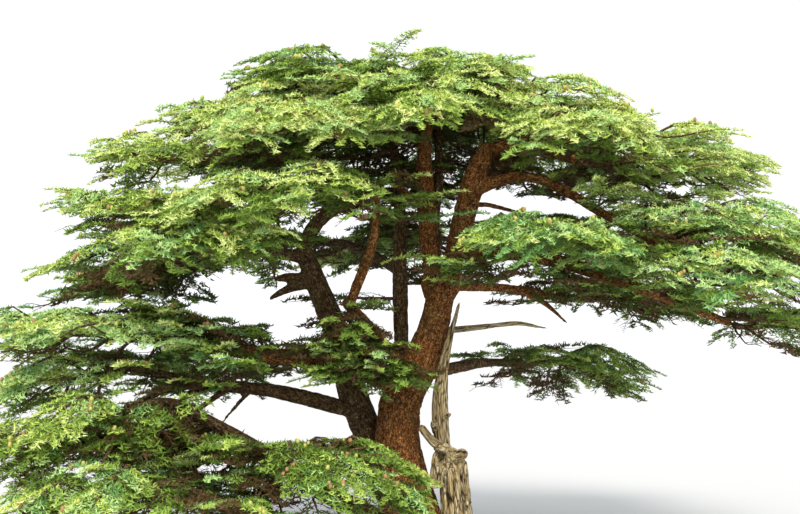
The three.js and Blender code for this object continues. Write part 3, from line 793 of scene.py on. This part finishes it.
def grow_mass(mass, limb, rng):
    """The boughs of one mass, each a line and its radii, on from the limb that carries it, and their fans"""
    boughs, fans = [], []
    seat_at = int(np.linalg.norm(limb.points - mass.corners.mean(0), axis=1).argmin())
    seat, seat_radius = limb.points[seat_at], limb.radii[seat_at]
    far = np.linalg.norm(mass.corners[:, :2] - seat[:2], axis=1)
    longest = far.max()
    heading = math.atan2(*(mass.corners[far.argmax()] - seat)[:2][::-1])
    bend = rng.uniform(-0.18, 0.18)
    main = course(mass, seat, heading - bend / 2, longest * MAIN_REACH, 0.45, bend, rng, 22, steepest=0.9)
    main = led_on(main, limb, seat_at)
    foot = min(seat_radius * 0.8, 0.03 + 0.009 * longest)
    radii = tapered(foot, 0.01, len(main))
    from_foot = np.linspace(0, longest, len(main))
    radii += max(seat_radius * 0.94 - radii[0], 0) * np.exp(-from_foot / 0.55)
    boughs.append((main, radii))
    add_fans(fans, mass, main, 0.5, seat, longest, rng)
    side_step = SIDE_STEP * float(np.clip(USUAL_DEPTH / mass.depth, 0.66, 1.05))
    at = rng.uniform(0.1, 0.3) * side_step
    side = rng.choice([-1, 1])
    while at < longest * 0.9:
        t = at / longest
        place = main[min(len(main) - 2, int(t / MAIN_REACH * (len(main) - 1)))]
        wide = 1.9 if t < 0.06 else 1.25
        turn = side * (wide - 0.75 * t ** 0.8 + rng.uniform(-0.12, 0.12))
        start = heading + bend * (t - 0.5) + turn
        length = mass.reach(place, start - side * 0.15, 6) * rng.uniform(0.86, 1.0)
        if length > SHORTEST_BOUGH:
            share = float(rng.choice(SIDE_LEVELS) + rng.uniform(-0.08, 0.08))
            line = course(mass, place, start, length, share, -side * rng.uniform(0.15, 0.4), rng, 8, 2.2)
            radius = foot * (1 - t) ** 0.8 + 0.012
            boughs.append((line, tapered(min(radius * 0.7, 0.012 + 0.014 * length), 0.008, 8)))
            add_fans(fans, mass, line, share, seat, longest, rng)
        side = -side
        at += side_step * rng.uniform(0.4, 0.62)
    return boughs, fans


def grow_limb(limb, first, last, count, headings, lengths, drop, dying, rng):
    """The boughs on a limb itself, between and behind the masses, and their fans"""
    boughs, fans = [], []
    for k in range(count):
        at = (first + (last - first) * (k + rng.uniform(0, 1)) / count) * limb.along[-1]
        index = min(len(limb.points) - 1, int(at / STEP))
        place, ahead = limb.points[index], limb.tangents[index]
        if headings:
            heading = math.radians(rng.uniform(*headings))
        else:
            heading = math.atan2(ahead[1], ahead[0]) + (-1) ** k * rng.uniform(0.5, 1.2)
        length = rng.uniform(*lengths)
        room = Clearing(place[2] - drop)
        share = rng.uniform(0.0, 0.75)
        line = course(room, place, heading, length, share, rng.uniform(-0.4, 0.4), rng, 7, 1.8)
        boughs.append((line, tapered(min(limb.radii[index] * 0.5, 0.014 + 0.012 * length), 0.008, 7)))
        size = min(1.0, 0.45 + 0.4 * length)
        add_fans(fans, room, line, share, place, length * 1.5, rng, size, dying)
    return boughs, fans


def fan_parts(fans, make, rng):
    """The shoots and twigs of many fans in one go: axes with branchlets on both sides, in one plane"""
    branchlet_step, shoot_step = make["branchlets"], make["shoots"]
    fans = np.array(fans, float)
    base, tip, half, roll, bare = fans[:, :3], fans[:, 3:6], fans[:, 6], fans[:, 7], fans[:, BARE] > 0.5
    whole = tip - base
    length = np.linalg.norm(whole, axis=1)
    ahead = whole / length[:, None]
    across = unit(np.cross(UP, ahead))
    lift = np.cross(ahead, across)
    across = across * np.cos(roll)[:, None] + lift * np.sin(roll)[:, None]
    lift = np.cross(ahead, across)
    sag = rng.uniform(*FAN_SAG, len(fans)) * length
    sway = rng.uniform(*FAN_SWAY, len(fans)) * length

    def axis(t):
        """A place on each fan's axis, which sags towards its tip and sways"""
        bow = (4 * t * (1 - t))[..., None]
        each = (slice(None),) + (None,) * (t.ndim - 1)
        return (base[each] + whole[each] * t[..., None] + lift[each] * sag[each][..., None] * bow
                + across[each] * sway[each][..., None] * bow * 0.5)

    # Two branchlets, left and right, at each step of each fan
    steps = np.arange(math.ceil(length.max() / branchlet_step))
    t = (steps[None, :, None] + 0.5 + np.array([-0.2, 0.25])) * branchlet_step / length[:, None, None]
    t = t + rng.uniform(-0.02, 0.02, t.shape)
    alive = (t > 0.02) & (t < 0.98)
    t = np.clip(t, 0.0, 1.0)
    outline = 1.85 * (t + 0.05) ** 0.45 * (1 - t) ** 0.78
    reach = half[:, None, None] * outline * rng.uniform(0.62, 1.16, t.shape) + 0.02
    angle = np.radians(OPEN_ANGLE - CLOSING * t) + rng.uniform(-0.14, 0.14, t.shape)
    direction = unit(ahead[:, None, None] * np.cos(angle)[..., None]
                     + across[:, None, None] * (np.sin(angle) * np.array([-1.0, 1.0]))[..., None]
                     + lift[:, None, None] * rng.uniform(-0.12, 0.22, t.shape)[..., None])
    foot = axis(t)
    end = foot + direction * reach[..., None]
    end[..., 2] -= 0.22 * reach ** 2 / np.maximum(half[:, None, None], 0.1) * 0.5
    owner = np.nonzero(alive)[0]
    foot, end, reach, at = foot[alive], end[alive], reach[alive], t[alive]

    # Shoots along the branchlets, then along the fans' own axes
    run = (np.arange(math.ceil(reach.max() / shoot_step))[None] + 0.6) * shoot_step
    on = (run < (reach + 0.3 * shoot_step)[:, None]) & ~bare[owner][:, None]
    branchlet = np.nonzero(on)[0]
    share = np.clip(run / reach[:, None], 0, 1)[on]
    t = (np.arange(math.ceil(length.max() / shoot_step))[None] + 0.5) * shoot_step / length[:, None]
    on = (t > 0.3) & (t <= 1.02) & ~bare[:, None]
    fan = np.nonzero(on)[0]
    return {
        "places": np.concatenate([foot[branchlet] + (end - foot)[branchlet] * share[:, None],
                                  axis(np.clip(t, 0, 1))[on]]),
        "headings": np.concatenate([unit(end - foot)[branchlet], ahead[fan]]),
        "ages": np.concatenate([0.5 * share + 0.5 * at[branchlet], t[on]]),
        "owners": np.concatenate([owner[branchlet], fan]),
        "twig_feet": foot,
        "twig_ends": end,
        "twig_seen": (reach > SHORTEST_TWIG) | bare[owner],
        "stems": axis(np.broadcast_to(np.linspace(0, 1, 3), (len(fans), 3))),
    }


def needle_triangles(places, headings, make, rng):
    """A tuft of needles on each shoot, each needle one thin triangle"""
    count, each = len(places), make["needles"]
    up = unit(UP + 0.55 * headings + rng.normal(0, 0.22, (count, 3)))
    first = unit(np.cross(up, headings + rng.normal(0, 0.05, (count, 3))))
    other = np.cross(up, first)
    turn = (np.arange(each)[None] + rng.uniform(0, 1, (count, each))) / each * 2 * math.pi
    rise = rng.uniform(-0.1, 0.8, (count, each))
    flat = (first[:, None] * np.cos(turn)[..., None] + other[:, None] * np.sin(turn)[..., None])
    point = flat * np.cos(rise)[..., None] + up[:, None] * np.sin(rise)[..., None]
    blade = unit(np.cross(point, rng.normal(0, 1, (count, each, 3))))
    length = rng.uniform(*make["length"], (count, each, 1))
    start = places[:, None] + point * 0.004
    half = blade * make["width"] / 2
    return np.stack([start - half, start + half, start + point * length], axis=2).reshape(-1, 3)


def slivers(feet, ends, radius, rng, heap):
    """Thin flat twigs that end in a point"""
    ahead = unit(ends - feet)
    side = unit(np.cross(ahead, rng.normal(0, 1, ahead.shape))) * radius
    heap.add(np.stack([feet - side, feet + side, ends], axis=1), np.arange(len(feet) * 3), 0)


def rods(feet, ends, foot_radius, end_radius, heap):
    """Thin three-sided rods, open at both ends"""
    ring = around(*square_to(unit(ends - feet)), 3)
    points = np.concatenate([feet[:, None] + ring * foot_radius, ends[:, None] + ring * end_radius], axis=1)
    pattern = np.array([[0, 1, 4], [0, 4, 3], [1, 2, 5], [1, 5, 4], [2, 0, 3], [2, 3, 5]])
    heap.add(points, pattern[None] + 6 * np.arange(len(feet))[:, None, None], 0)


def cone(place, height, lean, heap, kind):
    """An upright barrel of a cone"""
    axis = unit(UP + lean)
    ring = around(*square_to(axis), CONE_SIDES)
    rings = [place + axis * (z * height) + ring * (r * height * CONE_WIDTH / 2) for z, r in CONE_PROFILE]
    heap.add(*closed(np.array(rings), place, place + axis * height), kind)


# The limbs and their bark

# Each slot's skin: the size of its mesh and of its plates in metres, how much a plate's length along the limb
# is drawn together, and the depth of its cracks in metres
BARK_SLOTS = {
    "bark": (0.042, 0.1, 0.62, 0.03),
    "bark_shaded": (0.052, 0.12, 0.5, 0.03),
    "dead_wood": (0.026, 0.15, 0.1, 0.08),
}
# Each slot's bark: its material's name, its colours in fine cracks, on plates from dark to worn, on warm
# patches and on flecks, the height of its grain in metres, and the tint of its deep cracks
BARK_LOOKS = {
    "bark": ("cedar bark", (54, 32, 12), (90, 57, 24), (138, 87, 37), (182, 132, 74), (186, 100, 42),
             (222, 178, 128), 0.012, (178, 168, 156)),
    # painted shade: a darker, greyer copy of the bark, for the limbs and boughs in the crown's shade
    "bark_shaded": ("shaded bark", (40, 28, 15), (78, 58, 34), (108, 84, 52), (146, 122, 86), (126, 78, 40),
                    (176, 160, 128), 0.012, (178, 168, 156)),
    "dead_wood": ("bleached wood", (78, 62, 40), (164, 144, 96), (204, 184, 134), (226, 212, 172),
                  (186, 140, 96), (236, 226, 202), 0.01, (84, 68, 50)),
}
# The limbs that carry on the line of another, and how far their feet run back inside it
CARRIED_ON = {
    "left_stem": ("trunk", 1.0),
    "right_stem": ("trunk", 1.0),
    "curved_bough_upper": ("curved_bough_lower", 0.5),
}
SEATED_RADIUS = 0.9  # of a limb's foot inside the limb that it carries on
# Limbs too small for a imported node, through their places in metres: (x, y, z, diameter)
SMALL_LIMBS = {
    "bark": {
        "cross_bough": [(0.2, -0.12, 8.95, 0.22), (-0.2, -0.5, 9.05, 0.2), (-0.62, -1.0, 9.35, 0.17)],
        "top_bough": [(1.72, 0.1, 10.1, 0.44), (2.0, 0.15, 10.4, 0.38), (2.7, 0.3, 10.44, 0.32),
                      (3.35, 0.4, 10.36, 0.26), (4.1, 0.5, 10.1, 0.14)],
        "fourth_bough": [(1.0, 0.1, 8.9, 0.2), (1.8, 0.8, 9.05, 0.16), (3.2, 1.6, 8.8, 0.08)],
        "drop": [(2.6, 0.75, 6.85, 0.2), (3.3, 0.6, 6.45, 0.16), (3.85, 0.4, 5.9, 0.07)],
    },
    "bark_shaded": {
        "stem_top_end": [(-1.7, -0.75, 8.92, 0.3), (-1.2, -1.3, 9.06, 0.22), (-0.75, -2.1, 9.3, 0.1)],
        "upper_stub": [(-2.85, 0.25, 7.0, 0.34), (-3.3, 0.0, 7.1, 0.24), (-3.62, -0.15, 7.02, 0.13)],
        "lower_stub": [(-2.8, 0.25, 6.98, 0.3), (-3.35, -0.1, 6.75, 0.2), (-3.75, -0.3, 6.5, 0.1)],
        "hanging_twig": [(-3.95, -0.1, 7.75, 0.09), (-3.8, -0.3, 7.0, 0.07), (-3.85, -0.35, 6.2, 0.03)],
        "under_branch_1": [(-5.1, -1.15, 4.4, 0.2), (-5.9, -1.9, 3.9, 0.13), (-6.9, -2.4, 3.2, 0.05)],
        "under_branch_2": [(-4.6, -0.9, 4.35, 0.18), (-5.4, -1.8, 3.7, 0.12), (-6.1, -2.6, 3.0, 0.04)],
        "under_branch_3": [(-5.5, -1.4, 4.5, 0.16), (-6.4, -1.9, 4.1, 0.1), (-7.3, -2.2, 3.7, 0.04)],
        "knot": [(-0.5, -0.35, 4.0, 0.17), (-0.5, -0.52, 4.02, 0.18), (-0.51, -0.6, 4.02, 0.12)],
        "under_branch_4": [(-4.1, -0.6, 4.3, 0.14), (-4.6, -1.6, 3.6, 0.09), (-4.9, -2.4, 2.9, 0.04)],
    },
    "dead_wood": {
        "pale_branch": [(0.5, 0.1, 5.72, 0.2), (1.3, 0.4, 5.8, 0.17), (2.6, 0.6, 5.95, 0.13),
                        (3.4, 0.8, 5.8, 0.06)],
        "arm_knob": [(0.9, -0.52, 2.66, 0.2), (1.1, -0.6, 2.68, 0.32), (1.18, -0.64, 2.8, 0.22)],
        "arm_hump": [(0.5, -0.56, 2.86, 0.24), (0.62, -0.6, 2.92, 0.32), (0.76, -0.58, 2.8, 0.24)],
        "stump_splinter": [(0.45, -0.45, 1.9, 0.34), (0.42, -0.48, 2.45, 0.26), (0.4, -0.5, 2.8, 0.08)],
        "stump_shoulder": [(1.12, -0.4, 1.5, 0.3), (1.1, -0.42, 2.2, 0.3), (1.08, -0.44, 2.6, 0.22)],
        "spire_stub": [(0.54, -0.3, 3.55, 0.2), (0.68, -0.42, 3.66, 0.16), (0.82, -0.48, 3.68, 0.08)],
        "spire_knob": [(0.5, -0.25, 3.3, 0.3), (0.38, -0.38, 3.42, 0.26), (0.33, -0.42, 3.52, 0.14)],
        "spire_side": [(0.6, -0.26, 2.8, 0.34), (0.56, -0.26, 3.4, 0.42), (0.54, -0.26, 4.0, 0.42),
                       (0.59, -0.26, 4.6, 0.34), (0.69, -0.28, 5.2, 0.24), (0.87, -0.25, 5.85, 0.14),
                       (1.04, -0.2, 6.45, 0.08)],
    },
}
slot_of = {part["node"]: part["material_slot"] for part in frame["record"]["subparts"]}
limbs = {name: measured(name) for name in frame["nodes"] if not name.startswith("foliage_")}


def rooted(limb):
    """A limb with its foot inside what carries it"""
    if limb.points[0][2] < GROUND:
        return limb
    if limb.name not in CARRIED_ON:
        return limb.begun_at(limb.points[:1] - limb.tangents[1] * STEP, 1)
    name, reach = CARRIED_ON[limb.name]
    carrier = limbs[name].points
    at = int(np.linalg.norm(carrier - limb.points[0], axis=1).argmin())
    count = min(at, round(reach / STEP))
    share = np.linspace(0, 1, count, endpoint=False)[:, None]
    return limb.begun_at(carrier[at - count:at] + (limb.points[0] - carrier[at]) * share, SEATED_RADIUS)


def small_limb(name, places):
    rows = np.array(places)
    return evened(name, rows[:, :3], rows[:, 3] / 2)


bark = {slot: bark_material(*looks) for slot, looks in BARK_LOOKS.items()}
for slot, relief in BARK_SLOTS.items():
    nodes = [name for name in limbs if slot_of[name] == slot]
    group = [rooted(limbs[name]) for name in nodes]
    group += [small_limb(name, places) for name, places in SMALL_LIMBS[slot].items()]
    skin = bark_piece(slot + "_limbs", group, bark[slot], *relief)
    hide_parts(*nodes)
    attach(skin, "root")

# The crown

needle_names = list(NEEDLES)
needle_materials = [plain("needles " + name, colour) for name, colour in NEEDLES.items()]
twig_materials = [plain("twigs", (96, 68, 42), 0.85)]
cone_materials = [plain("green cones", (190, 190, 98), 0.7), plain("ripening cones", (170, 130, 88), 0.8)]
bough_heap, cone_heap, twig_heaps = Heap(), Heap(), [Heap()]
needle_heaps = {}  # slot: list of (heap, masses)


def dealt_colours(parts, fans, slot, shade, rng):
    """A needle colour for each shoot: its fan's, or a lighter one on the tips of a fan in the light"""
    chosen = []
    for fan in fans:
        # painted light and shade: brighter fans take a mass's top colours, dimmer ones its middle and lower
        # colours
        bright = fan[BRIGHTNESS] - shade
        level = 0 if bright > BRIGHT else 1 if bright > MIDDLE else 2
        choice = (THICKET if fan[DYING] else MOODS[slot][level]).split()
        name = choice[rng.integers(len(choice))]
        tip = name if fan[DYING] or level == 2 else LIGHTER[name]
        chosen.append((needle_names.index(name), needle_names.index(tip)))
    body, tips = np.array(chosen).T
    return np.where(parts["ages"] > TIPS, tips[parts["owners"]], body[parts["owners"]])


def dress(boughs, fans, slot, replaced, rng, shade):
    """Adds boughs, and their fans' twigs, needles and cones, to their heaps"""
    for line, radii in boughs:
        bough_heap.add(*tube(line, radii, BOUGH_SIDES), 0)
    if twig_heaps[-1].size() > PIECE_LIMIT * 0.9:
        twig_heaps.append(Heap())
    twigs, own = twig_heaps[-1], Heap()
    for make in LIT, SHADED:
        group = [fan for fan in fans if (fan[BRIGHTNESS] > MIDDLE or fan[BARE]) == (make is LIT)]
        if not group:
            continue
        parts = fan_parts(group, make, rng)
        colours = dealt_colours(parts, group, slot, shade, rng)
        tufts = needle_triangles(parts["places"], parts["headings"], make, rng)
        own.add(tufts, np.arange(len(tufts)), np.repeat(colours, make["needles"]))
        if make is LIT:
            seen = parts["twig_seen"]
            slivers(parts["twig_feet"][seen], parts["twig_ends"][seen], 0.008, rng, twigs)
        stems = parts["stems"] if make is LIT else parts["stems"][:, ::2]
        for k in range(stems.shape[1] - 1):
            rods(stems[:, k], stems[:, k + 1], 0.011 - 0.004 * k, 0.007 - 0.003 * k, twigs)
    heaps = needle_heaps.setdefault(slot, [(Heap(), [])])
    if heaps[-1][0].size() + own.size() > PIECE_LIMIT:
        heaps.append((Heap(), []))
    heaps[-1][0].parts.extend(own.parts)
    heaps[-1][1].extend(replaced)
    for fan in fans:
        if fan[BRIGHTNESS] > BRIGHT and rng.random() < CONE_CLUSTERS:
            base, tip = np.array(fan[:3]), np.array(fan[3:6])
            for share in rng.uniform(0.25, 0.9, rng.integers(1, CONES_TOGETHER + 1)):
                place = base + (tip - base) * share + UP * 0.04
                height, lean = rng.uniform(*CONE_HEIGHT), rng.normal(0, 0.12, 3)
                cone(place, height, lean, cone_heap, int(rng.random() < RIPE_SHARE))


for index, (name, carrier, shade) in enumerate(MASSES):
    rng = np.random.default_rng([SEED, index])
    node = "foliage_" + name
    dress(*grow_mass(Mass(node), limbs[carrier], rng), slot_of[node], [node], rng, shade)
for index, (name, *habit, kind) in enumerate(LIMB_GROWTH):
    rng = np.random.default_rng([SEED, 100 + index])
    dress(*grow_limb(limbs[name], *habit, rng), "foliage_" + kind, [], rng, LIMB_SHADE)


def finish_piece(heap, name, materials, replaced=(), smooth=False):
    piece = heap.piece(name, materials, smooth)
    if replaced:
        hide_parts(*replaced)
    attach(piece, "root")
    return piece


for slot, heaps in needle_heaps.items():
    for number, (heap, replaced) in enumerate(heaps, 1):
        name = slot.replace("foliage", "needles") + f"_{number}"
        finish_piece(heap, name, needle_materials, replaced)
for number, heap in enumerate(twig_heaps, 1):
    finish_piece(heap, f"twigs_{number}", twig_materials)
# the crown's boughs take the shaded bark, painted shade
boughs = finish_piece(bough_heap, "crown_boughs", [bark["bark_shaded"]], smooth=True)
bough_points = np.concatenate([points for points, _, _ in bough_heap.parts])
bark_fields(boughs, np.ones(len(bough_points)), bough_points)
finish_piece(cone_heap, "cones", cone_materials, smooth=True)

# Floor, light and camera

def floor():
    """A plain pale floor that runs to the horizon"""
    corners = np.array([[-1, -1, 0], [1, -1, 0], [1, 1, 0], [-1, 1, 0]]) * 400.0
    faces = np.array([[0, 1, 2], [0, 2, 3]])
    mesh_piece("floor", corners, faces, [plain("floor", (197, 198, 199), 0.9)])


def stood(name, data, place, angles):
    """A lamp or camera put in its place, turned by degrees round x, y and z"""
    stand = bpy.data.objects.new(name, data)
    stand.location = place
    stand.rotation_euler = [math.radians(angle) for angle in angles]
    bpy.context.scene.collection.objects.link(stand)
    return stand


def light():
    """Soft light from the whole sky, and a broad warm sun at the front"""
    world = bpy.data.worlds.new("studio")
    world.use_nodes = True
    sky = world.node_tree.nodes["Background"]
    sky.inputs["Color"].default_value = (0.96, 0.98, 1.0, 1.0)
    sky.inputs["Strength"].default_value = 1.14
    bpy.context.scene.world = world
    lamp = bpy.data.lights.new("key", "SUN")
    lamp.energy = 3.0
    lamp.angle = math.radians(24)
    lamp.color = (1.0, 0.95, 0.86)
    stood("key", lamp, (0, 0, 0), (42, -5, 0))


def camera():
    """The photograph's view: level with the lower crown, 28 m away, looking a little upwards"""
    lens = bpy.data.cameras.new("camera")
    lens.lens = 50
    lens.sensor_width = 36
    lens.clip_end = 1000
    bpy.context.scene.camera = stood("camera", lens, (-0.45, -28, 5.2), (94.887, 0, 0))


floor()
light()
camera()
bpy.context.scene.view_settings.view_transform = "Standard"
